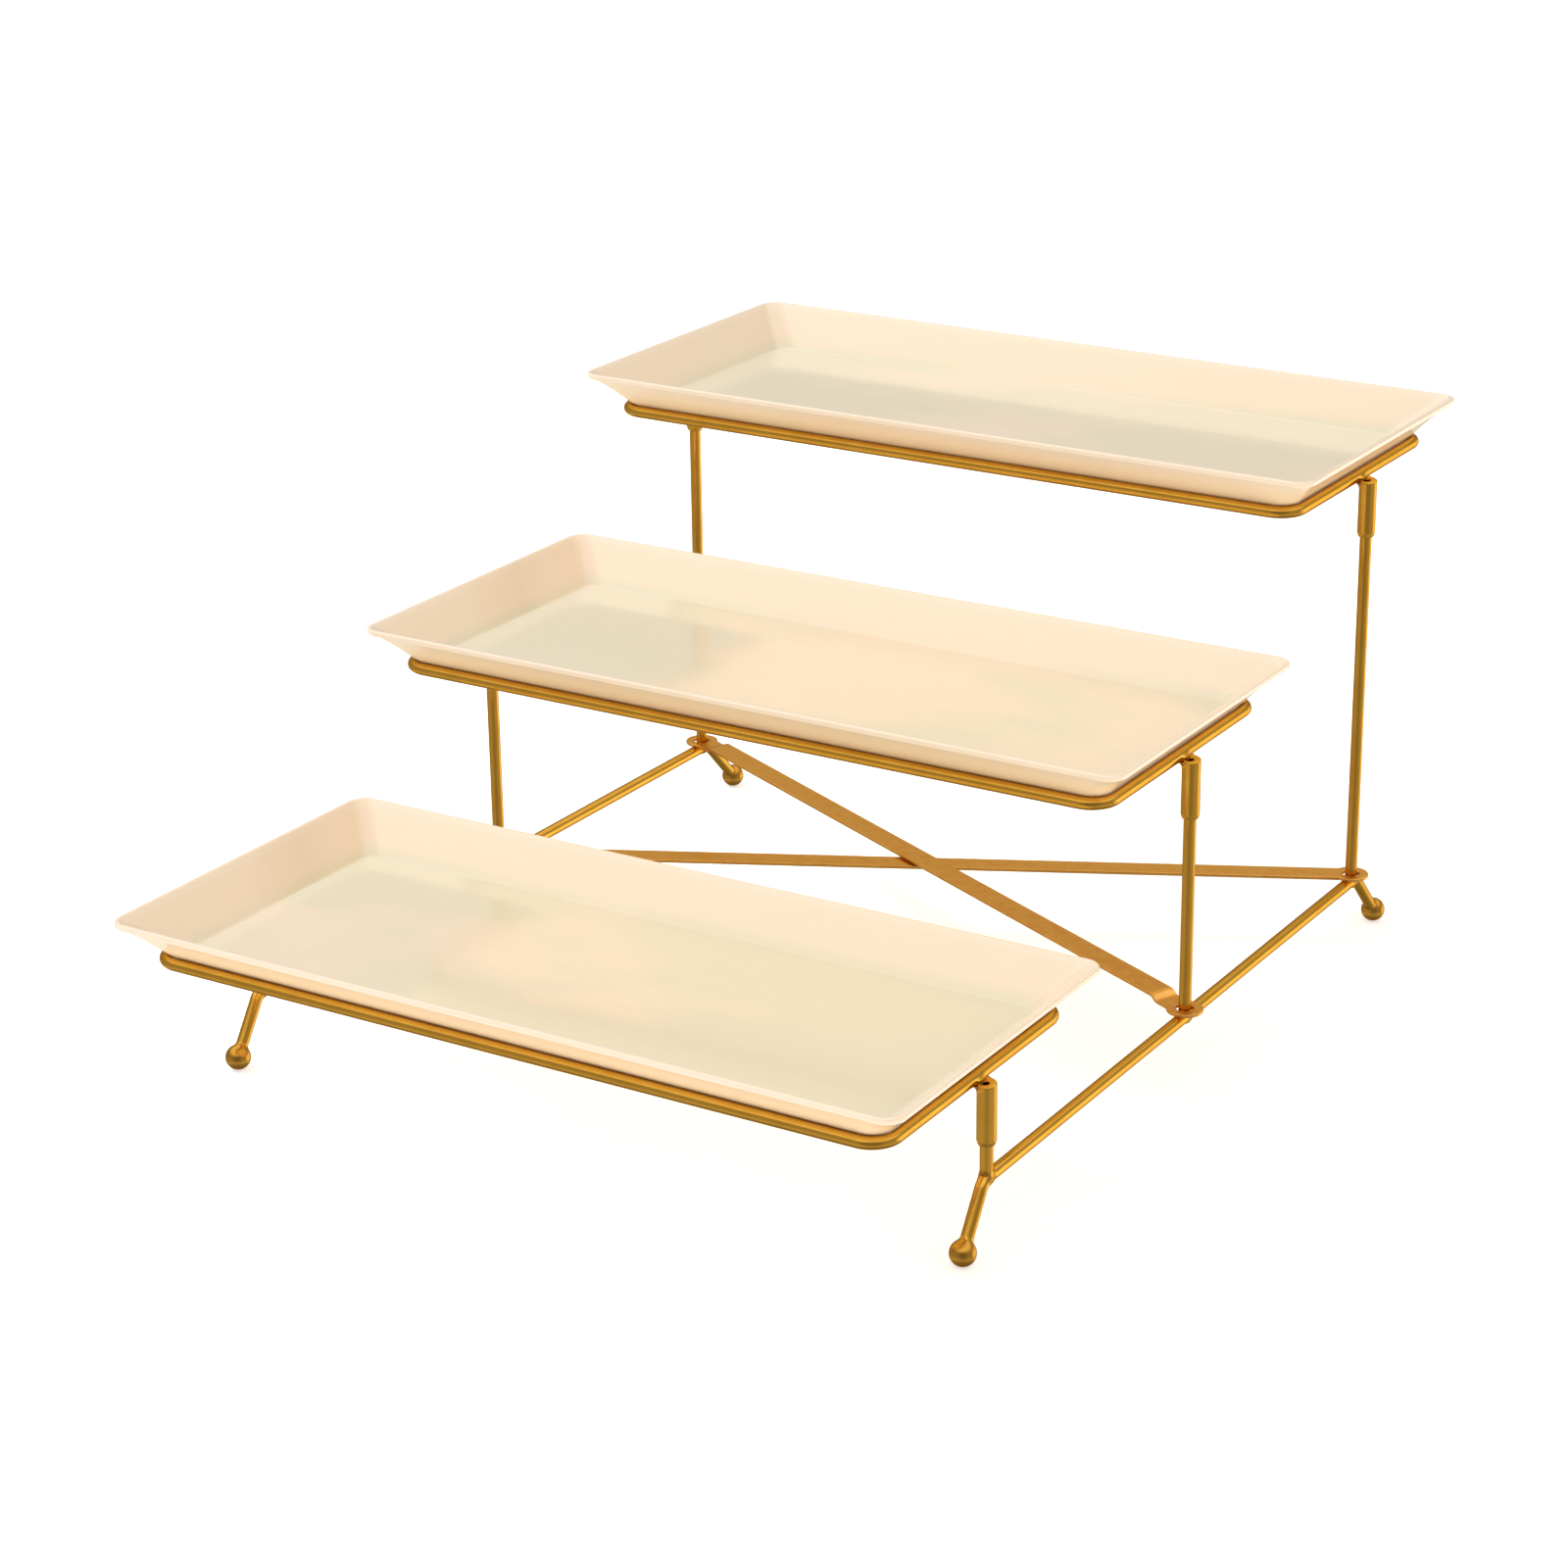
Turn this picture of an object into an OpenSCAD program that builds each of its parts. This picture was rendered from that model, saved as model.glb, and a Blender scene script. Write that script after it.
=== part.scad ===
// Three-tier serving stand: a wire base with ball feet and two crossed bars,
// three wire holders that lift off its posts, and three rectangular platters.
// +Z is up, the front tier is towards -Y, and the origin is on the table under the middle tier.

/* [Platters] */
// Length of a platter across its rim
platter_l = 305; // [280:1:330]
// Width of a platter across its rim
platter_w = 137; // [125:1:140]
// Height of a platter from its foot to its rim
platter_h = 18.5; // [17.5:0.5:20]
// Width of the rim's flat top
rim_t = 1.4; // [1:0.1:2.4]
// Thickness of the floor above the foot ring's recess
floor_t = 3.6; // [3:0.1:4.4]
// Height of the upright edge of the rim
lip_t = 2.2; // [1.8:0.1:2.6]

/* [Tiers] */
// Height of the lowest rim above the table
first_rim_h = 74; // [70:1:90]
// Rise from one tier to the next
tier_rise = 62; // [45:1:75]
// Step back from one tier to the next
tier_step = 142; // [142:1:160]

/* [Wire] */
// Diameter of the wire of the base and the holders
wire_d = 4.4; // [4:0.1:5]
// Radius of a bend in the side rails, at the wire's centre line
bend_r = 5; // [4:0.5:6]
// Depth of a holder's wire below the rim that it carries
ring_drop = 15.3; // [14.5:0.1:15.5]
// Radius of a holder's corners, at the wire's centre line
ring_corner_r = 9; // [8.5:0.5:10]

/* [Sockets] */
// Outer diameter of the tubes that slip over the posts
socket_d = 6.6; // [6.4:0.1:7.4]
// Depth of a socket tube's lower end below the holder's wire
socket_l = 22.5; // [18:0.5:26]
// Radial clearance between a post and its socket
socket_gap = 0.1; // [0.05:0.05:0.2]
// Distance from the holder's wire out to the socket's axis
socket_out = 4; // [3.8:0.1:4.4]

/* [Feet] */
// Diameter of a ball foot
ball_d = 9; // [8:0.5:11]
// Height of the side rails above the table, at the wire's centre
rail_h = 24.2; // [22:0.2:28]
// How far a front ball stands ahead of its post
front_splay = 15; // [12:1:20]
// How far a rear ball stands behind its post
rear_splay = 23; // [18:1:28]

/* [Crossed bars] */
// Width of a flat bar
bar_w = 9.5; // [8:0.5:11]
// Thickness of a flat bar
bar_t = 1.2; // [1:0.1:1.6]
// Diameter of the eye at each end of a bar
eye_d = 13; // [12:0.5:15]
// Diameter of the hole in an eye, loose on its post
eye_bore = 6.4; // [6:0.2:7]

/* [Hidden] */

$fn = 48;
LEFT = -1;
RIGHT = 1;
FRONT = 0;
MIDDLE = 1;
TOP = 2;
GOLD = [0.80, 0.60, 0.24];
CREAM = [0.96, 0.92, 0.83];

wire_r = wire_d / 2;
// Cutters run this far past the faces that they cut
past = 1;
// Running gap between a platter's wall and the wire under it
seat_gap = 0.3;
// The wall flares at 45 degrees from a ledge this far inside the rim
ledge = 1.2;
rim_corner_r = 7;
foot_corner_r = 7.5;
floor_corner_r = 6;
// Depth of the recess inside the foot ring, and the ring's width
foot_recess = 0.9;
foot_ring_w = 5;

// The holder's wire lies against the 45 degree wall; places are kept to a hundredth
ring_inset = round(100 * (ring_drop - lip_t + ledge - (wire_r + seat_gap) * sqrt(2))) / 100;
ring_x = platter_l / 2 - ring_inset;
ring_y = platter_w / 2 - ring_inset;

post_x = ring_x + socket_out;
// Chamfer at a post's top, turned on a plug that runs down into the post
post_tip = 0.6;
tip_plug = 2;
// Free height between a post's top and the centre of the wire over it
post_stop = wire_r + 0.3;

bar_rest = rail_h + wire_r;
// The upper bar steps over the lower one, with this much air between them
bar_air = 0.4;
bar_step = bar_t + bar_air;
step_from_eye = 11;
// The rail runs this far past its end posts before it bends down
toe = 2;
heel = 4;
// How far short of a ball's centre its leg stops
leg_bite = 1.5;
// A socket's upper end stops this far below the middle of the wire that it is welded to
socket_drop = 1.2;
crimp_l = 1.6;
crimp_d = socket_d - 0.9;

leg_drop = rail_h - ball_d / 2;
// Slopes of the front and rear legs, in degrees below level
front_slope = atan2(leg_drop, front_splay - toe);
rear_slope = atan2(leg_drop, rear_splay - heel);
wire_sides = 20;
bend_steps = 4;

function tier_y(tier) = (tier - 1) * tier_step;
function rim_z(tier) = first_rim_h + tier * tier_rise;
function ring_z(tier) = rim_z(tier) - ring_drop;
function post_top(tier) = ring_z(tier) - post_stop;

// Stations [y, z, heading] along a bend that turns down at a corner from one heading to another
function bend(corner, from, to) =
    let (tangent = bend_r * tan((from - to) / 2),
         start = corner - tangent * [cos(from), sin(from)],
         centre = start + bend_r * [sin(from), -cos(from)])
    [for (i = [0 : bend_steps])
        let (h = from + (to - from) * i / bend_steps)
        [centre.x - bend_r * sin(h), centre.y + bend_r * cos(h), h]];

// A leg's end, short of the ball's centre and headed along the leg
function leg_end(y, heading, ahead) =
    [y + ahead * leg_bite * cos(heading), ball_d / 2 + ahead * leg_bite * sin(heading), heading];

rail_path = concat(
    [leg_end(tier_y(FRONT) - front_splay, front_slope, 1)],
    bend([tier_y(FRONT) - toe, rail_h], front_slope, 0),
    bend([tier_y(TOP) + heel, rail_h], 0, -rear_slope),
    [leg_end(tier_y(TOP) + rear_splay, -rear_slope, -1)]);

// A round wire along stations in the YZ plane, as one closed solid
module bent_wire(path) {
    n = wire_sides;
    last = len(path) - 1;
    points = [for (s = path, k = [0 : n - 1])
        let (a = 360 * k / n, up = wire_r * sin(a))
        [wire_r * cos(a), s[0] - up * sin(s[2]), s[1] + up * cos(s[2])]];
    sides = [for (i = [0 : last - 1], k = [0 : n - 1])
        let (m = (k + 1) % n)
        [i * n + k, i * n + m, (i + 1) * n + m, (i + 1) * n + k]];
    start_cap = [for (k = [n - 1 : -1 : 0]) k];
    end_cap = [for (k = [0 : n - 1]) last * n + k];
    polyhedron(points, concat(sides, [start_cap, end_cap]), convexity = 4);
}

// One wire makes both legs and the rail of a side
module side_rail(side) {
    color(GOLD) translate([side * post_x, 0, 0]) bent_wire(rail_path);
}

// The chamfered upper end of a post, which leads the socket on
module tip(side, tier) {
    translate([side * post_x, tier_y(tier), post_top(tier) - post_tip])
        rotate_extrude()
            polygon([[0, -tip_plug], [wire_r, -tip_plug], [wire_r, 0],
                     [wire_r - post_tip, post_tip], [0, post_tip]]);
}

// A post, its foot notched to sit astride the rail
module post(side, tier) {
    color(GOLD) {
        difference() {
            translate([side * post_x, tier_y(tier), rail_h])
                cylinder(d = wire_d, h = post_top(tier) - post_tip - rail_h);
            translate([side * post_x, tier_y(tier), rail_h])
                rotate([90, 0, 0]) cylinder(d = wire_d, h = 3 * wire_d, center = true);
        }
        tip(side, tier);
    }
}

// A ball foot, drilled for the end of its leg; lean tips the drilling from upright
module foot(side, y, lean) {
    color(GOLD) translate([side * post_x, y, ball_d / 2]) difference() {
        sphere(d = ball_d);
        rotate([lean, 0, 0]) translate([0, 0, leg_bite]) cylinder(d = wire_d, h = ball_d);
    }
}

module front_foot(side) {
    foot(side, tier_y(FRONT) - front_splay, front_slope - 90);
}

module rear_foot(side) {
    foot(side, tier_y(TOP) + rear_splay, 90 - rear_slope);
}

// Outline of a bar seen from its edge; step is how far its middle is raised
function bar_outline(span, step) = step == 0
    ? [[0, 0], [span, 0], [span, bar_t], [0, bar_t]]
    : let (a = step_from_eye, b = span - step_from_eye)
      [[0, 0], [a, 0], [a + step, step], [b - step, step], [b, 0], [span, 0],
       [span, bar_t], [b, bar_t], [b - step, step + bar_t], [a + step, step + bar_t], [a, bar_t],
       [0, bar_t]];

// A flat bar from one post to another, with a drilled eye round each
module crossbar(from, to, step) {
    run = to - from;
    span = norm(run);
    color(GOLD) translate([from.x, from.y, bar_rest]) rotate([0, 0, atan2(run.y, run.x)])
        difference() {
            union() {
                rotate([90, 0, 0]) linear_extrude(bar_w, center = true)
                    polygon(bar_outline(span, step));
                for (x = [0, span]) translate([x, 0, 0]) cylinder(d = eye_d, h = bar_t);
            }
            for (x = [0, span])
                translate([x, 0, -past]) cylinder(d = eye_bore, h = bar_t + 2 * past);
        }
}

// One rounded corner of a holder; the quarters count round from the rear right
module ring_corner(quarter) {
    sx = quarter == 0 || quarter == 3 ? 1 : -1;
    sy = quarter < 2 ? 1 : -1;
    translate([sx * (ring_x - ring_corner_r), sy * (ring_y - ring_corner_r), 0])
        rotate([0, 0, 90 * quarter])
            rotate_extrude(angle = 90) translate([ring_corner_r, 0]) circle(d = wire_d);
}

// The straight side that runs on from a corner to the next one
module ring_side(quarter) {
    across = quarter % 2 == 0 ? ring_y : ring_x;
    along = quarter % 2 == 0 ? ring_x : ring_y;
    rotate([0, 0, 90 * quarter]) translate([0, across, 0]) rotate([0, 90, 0])
        cylinder(d = wire_d, h = 2 * (along - ring_corner_r), center = true);
}

// A closed rectangular ring of wire that carries one platter
module ring(tier) {
    color(GOLD) translate([0, tier_y(tier), ring_z(tier)])
        for (quarter = [0 : 3]) {
            ring_corner(quarter);
            ring_side(quarter);
        }
}

// A socket tube, notched round the ring wire above it and drawn in at its lower end
module socket(side, tier) {
    color(GOLD) translate([side * post_x, tier_y(tier), ring_z(tier) - socket_l]) difference() {
        union() {
            cylinder(d1 = crimp_d, d2 = socket_d, h = crimp_l);
            translate([0, 0, crimp_l])
                cylinder(d = socket_d, h = socket_l - socket_drop - crimp_l);
        }
        translate([0, 0, -past])
            cylinder(d = wire_d + 2 * socket_gap, h = socket_l + 2 * past);
        translate([-side * socket_out, 0, socket_l])
            rotate([90, 0, 0]) cylinder(d = wire_d, h = 2 * socket_d, center = true);
    }
}

// A flat slab with rounded corners, inset from the rim's outline
module slab(inset, corner_r, h) {
    linear_extrude(h) offset(r = corner_r)
        square([platter_l - 2 * (inset + corner_r), platter_w - 2 * (inset + corner_r)],
               center = true);
}

module platter(tier) {
    skin = 0.01;
    flare_h = platter_h - lip_t;
    foot_inset = ledge + flare_h;
    color(CREAM) translate([0, tier_y(tier), rim_z(tier) - platter_h]) difference() {
        union() {
            hull() {
                slab(foot_inset, foot_corner_r, skin);
                translate([0, 0, flare_h - skin]) slab(ledge, rim_corner_r, skin);
            }
            translate([0, 0, flare_h - skin]) slab(0, rim_corner_r, lip_t + skin);
        }
        // The dish: its floor ends straight above the foot's outer edge
        hull() {
            translate([0, 0, foot_recess + floor_t]) slab(foot_inset, floor_corner_r, skin);
            translate([0, 0, platter_h]) slab(rim_t, rim_corner_r - rim_t, skin);
        }
        translate([0, 0, -past])
            slab(foot_inset + foot_ring_w, foot_corner_r - foot_ring_w, foot_recess + past);
    }
}

side_rail(LEFT);  // left_rail
side_rail(RIGHT);  // right_rail
post(LEFT, FRONT);  // left_front_post
post(RIGHT, FRONT);  // right_front_post
post(LEFT, MIDDLE);  // left_middle_post
post(RIGHT, MIDDLE);  // right_middle_post
post(LEFT, TOP);  // left_rear_post
post(RIGHT, TOP);  // right_rear_post
front_foot(LEFT);  // left_front_foot
front_foot(RIGHT);  // right_front_foot
rear_foot(LEFT);  // left_rear_foot
rear_foot(RIGHT);  // right_rear_foot
crossbar([post_x, tier_y(MIDDLE)], [-post_x, tier_y(TOP)], bar_step);  // upper_crossbar
crossbar([post_x, tier_y(TOP)], [-post_x, tier_y(MIDDLE)], 0);  // lower_crossbar
ring(FRONT);  // front_ring
ring(MIDDLE);  // middle_ring
ring(TOP);  // top_ring
socket(LEFT, FRONT);  // front_left_socket
socket(RIGHT, FRONT);  // front_right_socket
socket(LEFT, MIDDLE);  // middle_left_socket
socket(RIGHT, MIDDLE);  // middle_right_socket
socket(LEFT, TOP);  // top_left_socket
socket(RIGHT, TOP);  // top_right_socket
platter(FRONT);  // front_platter
platter(MIDDLE);  // middle_platter
platter(TOP);  // top_platter
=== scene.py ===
"""A stepped serving stand: gold wire frame, lift-off wire holders and three glazed platters.

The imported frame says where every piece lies. Each sub-assembly below reads its own places from
it, works its surfaces out on numpy grids, and dresses them. Lengths are metres, +Z is up, the
front tier is towards -Y.
"""

from __future__ import annotations

import logging
import math
from dataclasses import dataclass, field
from enum import Enum
from typing import Optional, Sequence, Union

import bmesh
import bpy
import numpy as np
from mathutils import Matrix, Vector

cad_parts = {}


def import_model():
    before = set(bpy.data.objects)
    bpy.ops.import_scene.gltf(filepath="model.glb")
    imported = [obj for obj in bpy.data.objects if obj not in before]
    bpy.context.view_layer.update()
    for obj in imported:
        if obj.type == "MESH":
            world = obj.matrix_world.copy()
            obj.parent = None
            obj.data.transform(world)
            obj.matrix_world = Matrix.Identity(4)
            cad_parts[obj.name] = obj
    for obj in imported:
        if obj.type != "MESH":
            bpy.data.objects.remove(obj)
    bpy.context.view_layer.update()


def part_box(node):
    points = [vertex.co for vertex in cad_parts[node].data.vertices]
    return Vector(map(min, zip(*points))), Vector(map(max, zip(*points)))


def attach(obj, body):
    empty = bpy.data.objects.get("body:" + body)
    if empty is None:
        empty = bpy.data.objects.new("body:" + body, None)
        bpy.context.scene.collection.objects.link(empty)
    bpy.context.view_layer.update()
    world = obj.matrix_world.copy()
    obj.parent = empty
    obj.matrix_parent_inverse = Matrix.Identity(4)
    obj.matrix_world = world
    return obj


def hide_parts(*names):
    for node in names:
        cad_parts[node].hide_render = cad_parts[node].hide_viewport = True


LOG = logging.getLogger("serving_stand")
MM = 0.001
UP = np.array([0.0, 0.0, 1.0])
SWELL_ROUNDS = 14
SWELL_SHARE = 0.25
Layers = dict[str, np.ndarray]


class Side(Enum):
    """The stand's two long-axis ends, as the front platter's user sees them."""

    LEFT = "left"
    RIGHT = "right"


class Tier(Enum):
    """The three steps, with the word that each one's posts go by."""

    FRONT = ("front", "front")
    MIDDLE = ("middle", "middle")
    TOP = ("top", "rear")

    @property
    def word(self) -> str:
        """The tier's name in holders and platters."""
        return self.value[0]

    @property
    def post_word(self) -> str:
        """The tier's name in posts."""
        return self.value[1]


# ---------------------------------------------------------------------------------------------
# Surfaces on grids


@dataclass(frozen=True)
class Rod:
    """A round bar between two points, or a ball when the points are the same."""

    start: np.ndarray
    end: np.ndarray
    radius: float

    def gap(self, points: np.ndarray) -> np.ndarray:
        """Distance from each point to the rod's skin, negative inside it.

        Args:
            points: Places, with x, y, z on the last axis.

        Returns:
            One distance for each point.
        """
        run = self.end - self.start
        length_squared = max(float(run @ run), 1e-18)
        along = np.clip((points - self.start) @ run / length_squared, 0.0, 1.0)
        nearest = self.start + along[..., None] * run
        return np.linalg.norm(points - nearest, axis=-1) - self.radius


def swell(
    points: np.ndarray, normals: np.ndarray, rods: Sequence[Rod], reach: float
) -> tuple[np.ndarray, np.ndarray]:
    """Raises a skin into a soft weld fillet where it runs close to other rods.

    A point rises by t along its normal. t is a quarter of the reach times the square of
    1 - |t - gap| / reach, kept at or above nought, where gap is the raised point's distance to
    the rod. The sum is settled by rounds of averaging. Two skins that are raised towards each
    other meet in one rounded hollow.

    Args:
        points: The skin, rows by columns by 3.
        normals: Its outward unit normals, in the same shape.
        rods: What the skin is welded to.
        reach: How far from the rod the fillet starts.

    Returns:
        The raised skin, and how much of a weld each point is, from 0 to 1.
    """
    highest = np.zeros(points.shape[:-1])
    for rod in rods:
        rise = np.zeros(points.shape[:-1])
        for _ in range(SWELL_ROUNDS):
            gap = rod.gap(points + rise[..., None] * normals)
            closeness = np.clip(1.0 - np.abs(rise - gap) / reach, 0.0, 1.0)
            rise = (rise + SWELL_SHARE * reach * closeness**2) / 2
        highest = np.maximum(highest, rise)
    weld = np.clip(highest / (SWELL_SHARE * reach), 0.0, 1.0)
    return points + highest[..., None] * normals, weld


def eased(start: float, end: float, spacing: float) -> np.ndarray:
    """Stations from start to end, closer together at both ends by half a cosine wave.

    Args:
        start: The first station.
        end: The last station.
        spacing: The mean distance between stations.

    Returns:
        The stations, both ends included.
    """
    count = max(2, math.ceil(abs(end - start) / spacing))
    wave = (1.0 - np.cos(np.linspace(0.0, math.pi, count + 1))) / 2
    return start + (end - start) * wave


def filleted(
    corners: Sequence[tuple[float, float]],
    radii: Sequence[float],
    spacing: float,
    closed: bool = False,
    arc_steps: int = 8,
) -> np.ndarray:
    """A flat outline with its corners rounded by arcs.

    Each corner gives way to the arc that touches both of its sides, at radius / tan(half the
    corner's angle) from it. The runs between arcs have eased stations.

    Args:
        corners: The outline's corners, in order.
        radii: The radius at each corner; 0 keeps it sharp.
        spacing: Mean distance between stations on the runs.
        closed: Whether the last corner runs on to the first.
        arc_steps: Chords in each arc.

    Returns:
        Points along the outline, count by 2.
    """
    spots = np.array(corners, float)
    count = len(spots)
    arcs: list[np.ndarray] = []
    for i, radius in enumerate(radii):
        inner = closed or 0 < i < count - 1
        if radius <= 0 or not inner:
            arcs.append(spots[i : i + 1])
            continue
        back = spots[i - 1] - spots[i]
        ahead = spots[(i + 1) % count] - spots[i]
        back /= np.linalg.norm(back)
        ahead /= np.linalg.norm(ahead)
        half = math.acos(float(np.clip(back @ ahead, -1.0, 1.0))) / 2
        middle = back + ahead
        centre = spots[i] + middle / np.linalg.norm(middle) * radius / math.sin(half)
        first = spots[i] + back * radius / math.tan(half) - centre
        last = spots[i] + ahead * radius / math.tan(half) - centre
        turn = math.pi - 2 * half
        share = np.linspace(0.0, 1.0, arc_steps + 1)[:, None]
        arcs.append(
            centre
            + (np.sin((1 - share) * turn) * first + np.sin(share * turn) * last) / math.sin(turn)
        )
    parts: list[np.ndarray] = []
    for i, arc in enumerate(arcs):
        parts.append(arc)
        if i == count - 1 and not closed:
            break
        tail, head = arc[-1], arcs[(i + 1) % count][0]
        length = float(np.linalg.norm(head - tail))
        if length > 1e-9:
            share = eased(0.0, length, spacing)[1:-1, None] / length
            parts.append(tail + (head - tail) * share)
    return np.concatenate(parts)


def directions(path: np.ndarray, closed: bool) -> np.ndarray:
    """Unit tangents of a path, from each station's two neighbours.

    Args:
        path: Points along it, count by any number of axes.
        closed: Whether the last point runs on to the first.

    Returns:
        One unit tangent for each point.
    """
    if closed:
        steps = np.roll(path, -1, axis=0) - np.roll(path, 1, axis=0)
    else:
        steps = np.gradient(path, axis=0)
    return steps / np.linalg.norm(steps, axis=1, keepdims=True)


def swept(
    path: np.ndarray, radius: np.ndarray, flat: np.ndarray, sides: int, closed: bool
) -> tuple[np.ndarray, np.ndarray]:
    """A round section carried along a path that lies in one plane.

    Station by station the skin is the path plus radius times (cos a times the sideways
    direction plus sin a times the plane's normal), for a from 0 to a full turn.

    Args:
        path: Centre line, stations by 3.
        radius: The section's radius at each station.
        flat: Unit normal of the plane that the path lies in.
        sides: Points round the section.
        closed: Whether the path is a loop.

    Returns:
        The skin and its outward unit normals, each stations by sides by 3.
    """
    sideways = np.cross(flat, directions(path, closed))
    angle = np.linspace(0.0, 2 * math.pi, sides, endpoint=False)[None, :, None]
    normals = np.cos(angle) * sideways[:, None, :] + np.sin(angle) * flat
    return path[:, None, :] + radius[:, None, None] * normals, normals


def turned(
    profile: np.ndarray, axis_point: np.ndarray, sides: int, closed: bool
) -> tuple[np.ndarray, np.ndarray]:
    """A profile of (radius, height) turned round an upright axis.

    The skin is the axis point plus radius times (cos a, sin a) outwards plus height upwards.
    Its normal is the profile's tangent turned by a right angle, away from the metal.

    Args:
        profile: Stations of (radius, height), with the metal on the left going up.
        axis_point: Where radius and height are nought.
        sides: Points in a full turn.
        closed: Whether the profile is a loop.

    Returns:
        The skin and its outward unit normals, each stations by sides by 3.
    """
    tangent = directions(profile, closed)
    angle = np.linspace(0.0, 2 * math.pi, sides, endpoint=False)[None, :]
    out = np.stack([np.cos(angle), np.sin(angle), np.zeros_like(angle)], axis=-1)
    points = axis_point + profile[:, 0, None, None] * out + profile[:, 1, None, None] * UP
    normals = tangent[:, 1, None, None] * out - tangent[:, 0, None, None] * UP
    return points, normals


def nested_rectangles(
    half_x: np.ndarray, half_y: np.ndarray, corner: np.ndarray, steps: tuple[int, int, int]
) -> np.ndarray:
    """Rounded rectangles round the Z axis, one to a row, with columns that line up.

    A corner's points are its arc's centre plus corner radius times (cos a, sin a). A side's
    points divide the straight run between two arcs into eased shares.

    Args:
        half_x: Half length of each row's rectangle.
        half_y: Half width of each row's rectangle.
        corner: Corner radius of each row.
        steps: Divisions of an arc, of a long side and of a short side.

    Returns:
        Points, rows by columns by 2.
    """
    arc_steps, long_steps, short_steps = steps
    reach = np.stack([half_x - corner, half_y - corner], axis=-1)[:, None, :]
    arcs: list[np.ndarray] = []
    for quarter, signs in enumerate(((1, 1), (-1, 1), (-1, -1), (1, -1))):
        angle = math.pi / 2 * (quarter + np.linspace(0.0, 1.0, arc_steps + 1))
        round_part = np.stack([np.cos(angle), np.sin(angle)], axis=-1)[None]
        arcs.append(reach * np.array(signs) + corner[:, None, None] * round_part)
    columns: list[np.ndarray] = []
    for quarter, arc in enumerate(arcs):
        count = long_steps if quarter % 2 == 0 else short_steps
        share = (1 - np.cos(math.pi * np.arange(1, count) / count))[None, :, None] / 2
        tail, head = arc[:, -1:], arcs[(quarter + 1) % 4][:, :1]
        columns += [arc, tail + (head - tail) * share]
    return np.concatenate(columns, axis=1)


@dataclass
class Skin:
    """A grid of points that becomes a closed mesh.

    Columns always run on round to the first. Rows do too when the skin is a loop; otherwise the
    first and last rows are drawn together into poles.
    """

    points: np.ndarray
    layers: Layers = field(default_factory=dict)
    loop: bool = False

    def volume(self, spots: np.ndarray, faces: np.ndarray) -> float:
        """Signed volume: the sum over triangles of a . (b x c) / 6.

        Args:
            spots: The points, count by 3.
            faces: Four point numbers to a face.

        Returns:
            The volume, negative where the faces point inwards.
        """
        a, b, c, d = (spots[faces[:, k]] for k in range(4))
        two = np.einsum("ij,ij->i", a, np.cross(b, c)) + np.einsum("ij,ij->i", a, np.cross(c, d))
        return float(two.sum()) / 6

    def mesh(self, name: str) -> bpy.types.Mesh:
        """Builds the mesh, faces outwards, with a UV map that follows the grid.

        Args:
            name: The mesh's name.

        Returns:
            The finished mesh, smooth shaded.
        """
        rows, columns = self.points.shape[:2]
        spots = self.points.reshape(-1, 3)
        last = rows if self.loop else rows - 1
        r, c = np.meshgrid(np.arange(last), np.arange(columns), indexing="ij")
        r, c = r.ravel(), c.ravel()
        corner_rows = np.stack([r, r, r + 1, r + 1], axis=1)
        corner_columns = np.stack([c, c + 1, c + 1, c], axis=1)
        faces = (corner_rows % rows) * columns + corner_columns % columns
        order = slice(None) if self.volume(spots, faces) > 0 else slice(None, None, -1)
        faces = faces[:, order]
        mesh = bpy.data.meshes.new(name)
        mesh.vertices.add(len(spots))
        mesh.vertices.foreach_set("co", spots.ravel())
        mesh.loops.add(faces.size)
        mesh.loops.foreach_set("vertex_index", faces.ravel().astype(np.int32))
        mesh.polygons.add(len(faces))
        mesh.polygons.foreach_set("loop_start", np.arange(0, faces.size, 4, dtype=np.int32))
        mesh.update(calc_edges=True)
        uv = np.stack([corner_columns[:, order] / columns, corner_rows[:, order] / last], axis=-1)
        mesh.uv_layers.new(name="UVMap").data.foreach_set("uv", uv.ravel())
        for layer, values in self.layers.items():
            spread = np.ascontiguousarray(np.broadcast_to(values, self.points.shape[:2]), float)
            mesh.attributes.new(layer, "FLOAT", "POINT").data.foreach_set("value", spread.ravel())
        self.close(mesh)
        return mesh

    @staticmethod
    def close(mesh: bpy.types.Mesh, nearness: float = 0.002 * MM) -> None:
        """Draws poles and collapsed edges together, and sets smooth shading.

        Args:
            mesh: The mesh to mend.
            nearness: Points closer than this become one.
        """
        work = bmesh.new()
        work.from_mesh(mesh)
        bmesh.ops.remove_doubles(work, verts=work.verts, dist=nearness)
        bmesh.ops.dissolve_degenerate(work, edges=work.edges, dist=nearness / 2)
        for face in work.faces:
            face.smooth = True
        work.to_mesh(mesh)
        work.free()
        mesh.update()


def with_poles(points: np.ndarray) -> np.ndarray:
    """Adds a first and a last row, each drawn in to the middle of its neighbour.

    Args:
        points: Rows by columns by 3, open at both ends.

    Returns:
        The same rows between two pole rows.
    """
    first = np.broadcast_to(points[0].mean(axis=0), points[0].shape)[None]
    last = np.broadcast_to(points[-1].mean(axis=0), points[-1].shape)[None]
    return np.concatenate([first, points, last])


def pole_layer(values: np.ndarray) -> np.ndarray:
    """Gives a layer the same two extra rows as with_poles."""
    return np.concatenate([values[:1], values, values[-1:]])


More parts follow.
